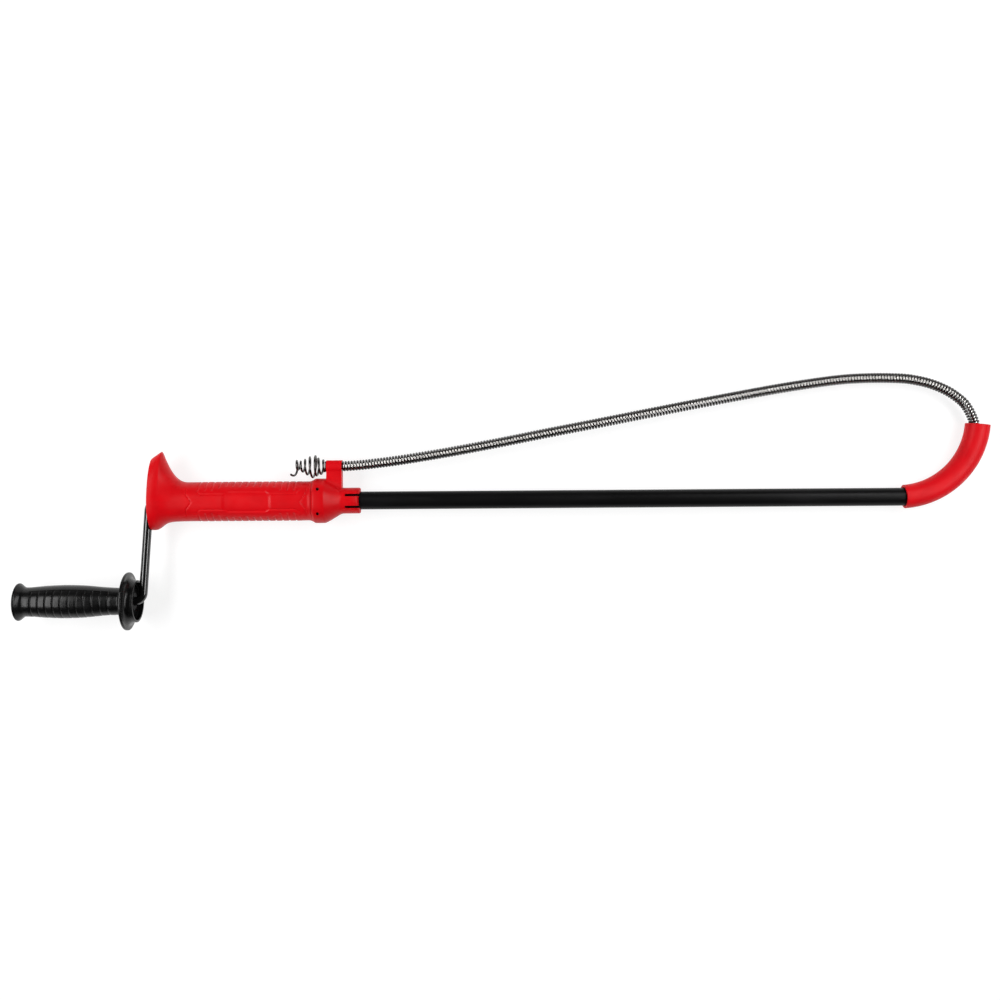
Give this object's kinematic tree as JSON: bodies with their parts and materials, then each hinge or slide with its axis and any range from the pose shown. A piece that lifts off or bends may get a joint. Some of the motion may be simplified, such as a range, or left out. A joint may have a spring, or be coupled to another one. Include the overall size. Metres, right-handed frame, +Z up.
{
  "type": "hand-cranked closet auger",
  "caption": "Hand-cranked drain auger: ribbed grip with rear hook, guide tube with bowl guard, and a wound cable with a bulb head, stowed in its clip.",
  "frame": {"origin": "middle of the underside of the tool's box, without the cable and its head, as it lies on a floor", "axes": "+X along the guide tube towards the bowl guard, +Y the way the guard bends, +Z up"},
  "size_m": [1.2336, 0.3192, 0.0731],
  "materials": {
    "red_moulding": "satin moulded",
    "red_vinyl": "satin vinyl",
    "black_tube": "satin black coat",
    "black_handle": "satin",
    "white_nylon": "plain",
    "dark_rod": "dark polished",
    "cable_steel": "bright wire",
    "plain_steel": "plain",
    "black_screw": "black"
  },
  "bodies": {
    "body": {"grip_housing": "red_moulding", "front_collar": "red_moulding", "collar_screw_1": "black_screw", "collar_screw_2": "black_screw", "collar_screw_3": "black_screw", "collar_screw_4": "black_screw", "guide_tube": "black_tube", "bowl_guard": "red_vinyl", "rear_bushing": "white_nylon", "drain_cable": "cable_steel"},
    "slider": {"slide_bushing": "white_nylon"},
    "crank": {"crank_rod": "dark_rod", "cable_coupling": "plain_steel", "coupling_pin": "plain_steel", "bushing_ring": "plain_steel", "hub_washer": "plain_steel", "axle_washer": "plain_steel", "axle_nut": "plain_steel"},
    "handle": {"handle_grip": "black_handle", "handle_plug": "black_handle"},
    "head": {"bulb_head": "cable_steel"}
  },
  "joints": [
    {"name": "crank_pull", "type": "slide", "parent": "body", "child": "slider", "axis": [-1, 0, 0], "range_m": [0, 0.85]},
    {"name": "crank_turn", "type": "hinge", "parent": "slider", "child": "crank", "pos_m": [-0.44829, 0.03464, 0.029], "axis": [1, 0, 0], "continuous": true},
    {"name": "handle_spin", "type": "hinge", "parent": "crank", "child": "handle", "pos_m": [-0.44829, -0.09033, 0.0366], "axis": [1, 0, 0], "continuous": true},
    {"name": "head_turn", "type": "hinge", "parent": "body", "child": "head", "pos_m": [-0.2479, 0.07824, 0.029], "axis": [-1, 0, 0], "continuous": true}
  ],
  "couplings": [
    {"joint": "head_turn", "follows": "crank_turn", "ratio": 1}
  ]
}
